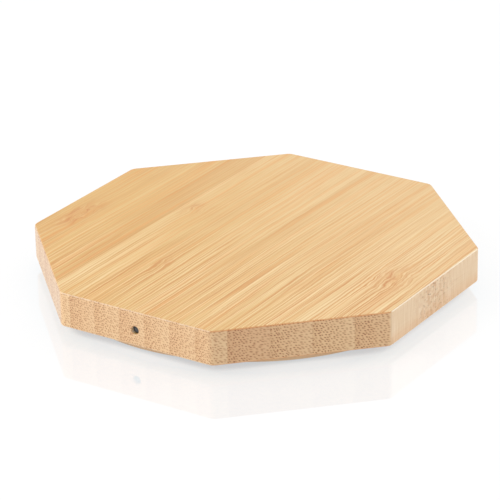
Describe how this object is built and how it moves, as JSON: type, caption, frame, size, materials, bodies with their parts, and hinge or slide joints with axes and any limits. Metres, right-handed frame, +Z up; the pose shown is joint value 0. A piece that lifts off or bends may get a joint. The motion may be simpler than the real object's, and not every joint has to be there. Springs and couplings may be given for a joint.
{
  "type": "wireless charging pad",
  "caption": "Flat octagonal wireless charging pad of laminated bamboo on a round plastic base, with a recessed indicator window in one side and a receptacle in the opposite side.",
  "frame": {"origin": "centre of the pad in the plane it rests on, at the bottom of the anti-slip ring", "axes": "+Z up through the charging face, -Y out of the side with the indicator window, +Y out of the side with the receptacle, +X to the right seen from the indicator side"},
  "size_m": [0.1, 0.1, 0.011],
  "materials": {
    "bamboo": "laminated vertical bamboo strips, sanded and oiled to a satin sheen",
    "base_plastic": "fine moulded texture, pale beige that matches the wood",
    "silicone": "matt silicone rubber, warm grey",
    "steel": "zinc plated steel screws",
    "smoked_acrylic": "smoked clear acrylic, nearly black when unlit",
    "circuit_board": "glass fibre board with green solder mask",
    "tape": "amber double sided adhesive film",
    "ferrite": null,
    "copper": "enamelled copper litz wire",
    "foam": "closed cell foam, dark grey",
    "solder": "tin solder, bright",
    "nickel": "nickel plated steel shell",
    "port_plastic": "black moulded insulator",
    "gold": "gold plated contacts",
    "chip_package": "black moulded semiconductor package",
    "ceramic": "tan ceramic capacitor body with tinned ends",
    "led_package": "white side-view indicator package"
  },
  "bodies": {
    "root": {"bamboo_body": "bamboo", "base_cover": "base_plastic", "antislip_ring": "silicone", "cover_screw_1": "steel", "cover_screw_2": "steel", "cover_screw_3": "steel", "cover_screw_4": "steel", "light_pipe": "smoked_acrylic", "circuit_board": "circuit_board", "ferrite_tape": "tape", "ferrite_shield": "ferrite", "coil_tape": "tape", "charging_coil": "copper", "foam_pad": "foam", "coil_lead_outer": "copper", "coil_lead_inner": "copper", "coil_solder_1": "solder", "coil_solder_2": "solder", "usb_shell": "nickel", "usb_insulator": "port_plastic", "usb_contact_1": "gold", "usb_contact_2": "gold", "usb_contact_3": "gold", "usb_contact_4": "gold", "usb_contact_5": "gold", "usb_contact_6": "gold", "controller_chip": "chip_package", "bridge_mosfet_1": "chip_package", "bridge_mosfet_2": "chip_package", "resonant_capacitor_1": "ceramic", "resonant_capacitor_2": "ceramic", "resonant_capacitor_3": "ceramic", "resonant_capacitor_4": "ceramic", "input_capacitor_1": "ceramic", "input_capacitor_2": "ceramic", "input_capacitor_3": "ceramic", "sense_resistor": "chip_package", "signal_resistor_1": "chip_package", "signal_resistor_2": "chip_package", "signal_resistor_3": "chip_package", "signal_resistor_4": "chip_package", "signal_resistor_5": "chip_package", "signal_resistor_6": "chip_package", "decoupling_capacitor_1": "ceramic", "decoupling_capacitor_2": "ceramic", "decoupling_capacitor_3": "ceramic", "decoupling_capacitor_4": "ceramic", "status_led": "led_package", "led_resistor": "chip_package", "thermistor": "ceramic"}
  },
  "joints": []
}
